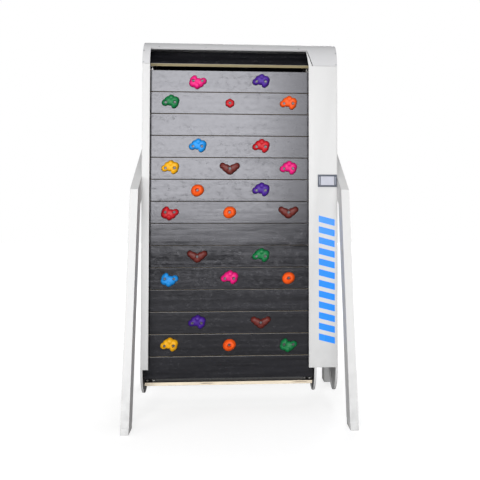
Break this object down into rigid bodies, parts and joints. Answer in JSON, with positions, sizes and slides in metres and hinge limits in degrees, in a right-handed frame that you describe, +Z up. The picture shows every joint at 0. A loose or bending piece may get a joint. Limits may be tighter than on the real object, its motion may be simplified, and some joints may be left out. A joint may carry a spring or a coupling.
{
  "type": "rock climbing wall",
  "caption": "Rotating climbing wall: an endless belt of black plywood slats with coloured holds in a tall white column on two side stands.",
  "frame": {"origin": "on the floor, midway between the stands across the wall and midway along the feet", "axes": "+X to the viewer's right across the wall, the climbing face looks along -Y, +Z up"},
  "size_m": [1.533, 1.514, 2.6805],
  "materials": {
    "white_steel": "satin powder coat",
    "black_steel": "satin black paint",
    "zinc_steel": "zinc plated",
    "shaft_steel": "machined",
    "chain_steel": "zinc plated, oiled",
    "grey_casting": "cast, painted grey",
    "black_plastic": "fine texture",
    "panel_plastic": "satin",
    "stained_plywood": "black stained and lacquered, semi-gloss",
    "green_hold": "moulded, satin",
    "orange_hold": "moulded, satin",
    "brown_hold": "moulded, satin"
  },
  "bodies": {
    "frame": {"left_side_panel": "white_steel", "right_inner_panel": "white_steel", "right_outer_panel": "white_steel", "left_bearing_plate": "black_steel", "right_bearing_plate": "black_steel", "left_front_cover": "white_steel", "left_back_cover": "white_steel", "drive_front_cover": "white_steel", "drive_back_cover": "white_steel", "top_cap": "white_steel", "cap_cheek": "white_steel", "drive_box_floor": "black_steel", "cover_screws": "zinc_steel", "cross_tubes": "black_steel", "left_guide_rails": "zinc_steel", "right_guide_rails": "zinc_steel", "shaft_bearings": "grey_casting", "bearing_bolts": "zinc_steel", "take_up_screws": "zinc_steel", "arm_struts": "black_steel", "left_front_leg": "white_steel", "left_arm": "white_steel", "left_rear_leg": "white_steel", "right_front_leg": "white_steel", "right_arm": "white_steel", "right_rear_leg": "white_steel", "foot_blocks": "white_steel", "rear_cross_beam": "white_steel", "lower_ties": "white_steel", "stand_bolts": "zinc_steel", "touch_panel": "panel_plastic", "power_inlet": "black_plastic", "drive_controller": "black_plastic", "motor_bracket": "black_steel", "gear_motor": "grey_casting", "motor_brake": "black_plastic", "drive_chain": "chain_steel"},
    "front_run": {"front_slats": "stained_plywood", "front_chains": "chain_steel", "front_lobed_holds": "green_hold", "front_round_holds": "orange_hold", "front_vee_holds": "brown_hold", "front_hold_bolts": "zinc_steel"},
    "back_run": {"back_slats": "stained_plywood", "back_chains": "chain_steel", "back_lobed_holds": "green_hold", "back_round_holds": "orange_hold", "back_vee_holds": "brown_hold", "back_hold_bolts": "zinc_steel"},
    "top_wheel": {"top_shaft": "shaft_steel", "top_sprockets": "shaft_steel", "drive_sprocket": "shaft_steel", "top_slats": "stained_plywood", "top_links": "chain_steel"},
    "bottom_wheel": {"bottom_shaft": "shaft_steel", "bottom_sprockets": "shaft_steel", "bottom_slat": "stained_plywood", "bottom_links": "chain_steel"},
    "motor_output": {"motor_sprocket": "shaft_steel"}
  },
  "joints": [
    {"name": "belt_travel", "type": "slide", "parent": "frame", "child": "front_run", "axis": [0, 0, -1], "range_m": [-0.07, 0.07]},
    {"name": "back_travel", "type": "slide", "parent": "frame", "child": "back_run", "axis": [0, 0, 1], "range_m": [-0.071, 0.071]},
    {"name": "top_wheel_turn", "type": "hinge", "parent": "frame", "child": "top_wheel", "pos_m": [0, 0, 2.453], "axis": [1, 0, 0], "range_deg": [-40, 40]},
    {"name": "bottom_wheel_turn", "type": "hinge", "parent": "frame", "child": "bottom_wheel", "pos_m": [0, 0, 0.293], "axis": [1, 0, 0], "range_deg": [-40, 40]},
    {"name": "motor_turn", "type": "hinge", "parent": "frame", "child": "motor_output", "pos_m": [0.673, 0, 1.5], "axis": [1, 0, 0], "range_deg": [-80, 80]}
  ],
  "couplings": [
    {"joint": "back_travel", "follows": "belt_travel", "ratio": 1},
    {"joint": "top_wheel_turn", "follows": "belt_travel", "rad_per_m": 9.8175},
    {"joint": "bottom_wheel_turn", "follows": "belt_travel", "rad_per_m": 9.8175},
    {"joint": "motor_turn", "follows": "belt_travel", "rad_per_m": 19.635}
  ]
}
